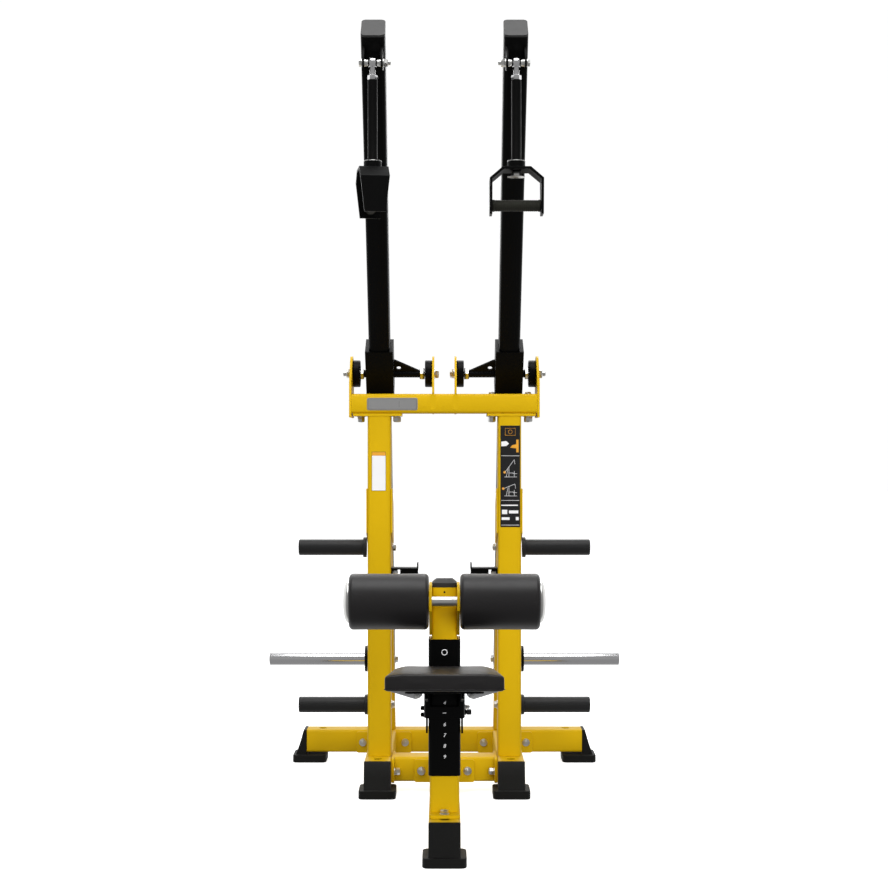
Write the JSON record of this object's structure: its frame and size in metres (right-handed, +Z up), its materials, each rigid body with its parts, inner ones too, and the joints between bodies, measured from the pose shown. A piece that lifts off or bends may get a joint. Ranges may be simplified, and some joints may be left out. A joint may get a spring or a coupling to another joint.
{
  "type": "lat pulldown machine",
  "caption": "Plate-loaded lat pulldown machine with two independent pivoting arms, swivel handles, thigh rollers and a height-adjustable seat.",
  "frame": {"origin": "on the floor, under the centre of the machine's bounding box", "axes": "+Z up, -Y towards the user's seat, +X to the right as seen from the seat"},
  "size_m": [1.244, 2.0741, 2.1604],
  "materials": {
    "yellow_paint": "satin",
    "black_paint": "satin",
    "foot_rubber": "matte",
    "vinyl": "satin",
    "grip_rubber": "matte",
    "cap_plastic": "matte",
    "chrome": "polished",
    "zinc_steel": "satin"
  },
  "bodies": {
    "frame": {"center_rail": "yellow_paint", "column_sleeve": "black_paint", "front_crossbar": "yellow_paint", "front_foot": "foot_rubber", "left_inner_bearing": "black_paint", "left_inner_pivot_plate": "yellow_paint", "left_lower_storage_horn": "black_paint", "left_outer_bearing": "black_paint", "left_outer_pivot_plate": "yellow_paint", "left_rail_foot": "foot_rubber", "left_rear_brace": "yellow_paint", "left_rear_foot": "foot_rubber", "left_roller_end_cap": "zinc_steel", "left_side_rail": "yellow_paint", "left_stop_bracket": "black_paint", "left_upper_storage_horn": "black_paint", "left_upright": "yellow_paint", "rear_crossbar": "yellow_paint", "right_inner_bearing": "black_paint", "right_inner_pivot_plate": "yellow_paint", "right_lower_storage_horn": "black_paint", "right_outer_bearing": "black_paint", "right_outer_pivot_plate": "yellow_paint", "right_rail_foot": "foot_rubber", "right_rear_brace": "yellow_paint", "right_rear_foot": "foot_rubber", "right_roller_end_cap": "zinc_steel", "right_side_rail": "yellow_paint", "right_stop_bracket": "black_paint", "right_upper_storage_horn": "black_paint", "right_upright": "yellow_paint", "seat_column": "yellow_paint", "thigh_axle": "zinc_steel", "thigh_post": "yellow_paint", "thigh_post_cap": "cap_plastic", "top_crossbeam": "yellow_paint"},
    "seat": {"seat_carriage": "black_paint", "seat_pad": "vinyl"},
    "seat_pull_pin": {"seat_pin": "cap_plastic"},
    "left_arm_body": {"left_arm": "black_paint", "left_arm_cap": "cap_plastic", "left_pivot_shaft": "zinc_steel", "left_weight_horn": "chrome", "left_clevis_bolt": "zinc_steel"},
    "left_hanger": {"left_rod_end": "chrome", "left_hanger_rod": "black_paint"},
    "left_handle_body": {"left_handle": "black_paint"},
    "left_grip_body": {"left_grip": "grip_rubber"},
    "left_roller": {"left_thigh_roller": "vinyl"},
    "right_arm_body": {"right_arm": "black_paint", "right_arm_cap": "cap_plastic", "right_pivot_shaft": "zinc_steel", "right_weight_horn": "chrome", "right_clevis_bolt": "zinc_steel"},
    "right_hanger": {"right_rod_end": "chrome", "right_hanger_rod": "black_paint"},
    "right_handle_body": {"right_handle": "black_paint"},
    "right_grip_body": {"right_grip": "grip_rubber"},
    "right_roller": {"right_thigh_roller": "vinyl"}
  },
  "joints": [
    {"name": "left_arm_pivot", "type": "hinge", "parent": "frame", "child": "left_arm_body", "pos_m": [-0.196, 0.1374, 1.258], "axis": [1, 0, 0], "range_deg": [0, 35]},
    {"name": "left_hanger_swing", "type": "hinge", "parent": "left_arm_body", "child": "left_hanger", "pos_m": [-0.18678, -0.62566, 2.03299], "axis": [1, 0, 0], "range_deg": [-75, 15]},
    {"name": "left_handle_swivel", "type": "hinge", "parent": "left_hanger", "child": "left_handle_body", "pos_m": [-0.18678, -0.62566, 1.75869], "axis": [0, 0, 1], "continuous": true},
    {"name": "left_grip_spin", "type": "hinge", "parent": "left_handle_body", "child": "left_grip_body", "pos_m": [-0.18678, -0.62566, 1.66169], "axis": [0.1392, -0.9903, 0], "continuous": true},
    {"name": "left_roller_spin", "type": "hinge", "parent": "frame", "child": "left_roller", "pos_m": [-0.137, -0.7856, 0.649], "axis": [1, 0, 0], "continuous": true},
    {"name": "right_arm_pivot", "type": "hinge", "parent": "frame", "child": "right_arm_body", "pos_m": [0.196, 0.1374, 1.258], "axis": [1, 0, 0], "range_deg": [0, 35]},
    {"name": "right_hanger_swing", "type": "hinge", "parent": "right_arm_body", "child": "right_hanger", "pos_m": [0.18678, -0.62566, 2.03299], "axis": [1, 0, 0], "range_deg": [-75, 15]},
    {"name": "right_handle_swivel", "type": "hinge", "parent": "right_hanger", "child": "right_handle_body", "pos_m": [0.18678, -0.62566, 1.75869], "axis": [0, 0, 1], "continuous": true},
    {"name": "right_grip_spin", "type": "hinge", "parent": "right_handle_body", "child": "right_grip_body", "pos_m": [0.18678, -0.62566, 1.66169], "axis": [1, 0, 0], "continuous": true},
    {"name": "right_roller_spin", "type": "hinge", "parent": "frame", "child": "right_roller", "pos_m": [0.137, -0.7856, 0.649], "axis": [1, 0, 0], "continuous": true},
    {"name": "seat_height", "type": "slide", "parent": "frame", "child": "seat", "axis": [0, 0, 1], "range_m": [-0.14, 0.056]},
    {"name": "seat_pin_pull", "type": "slide", "parent": "seat", "child": "seat_pull_pin", "axis": [1, 0, 0], "range_m": [0, 0.012], "stiffness_N_per_m": 2000, "springref_m": -0.004}
  ]
}
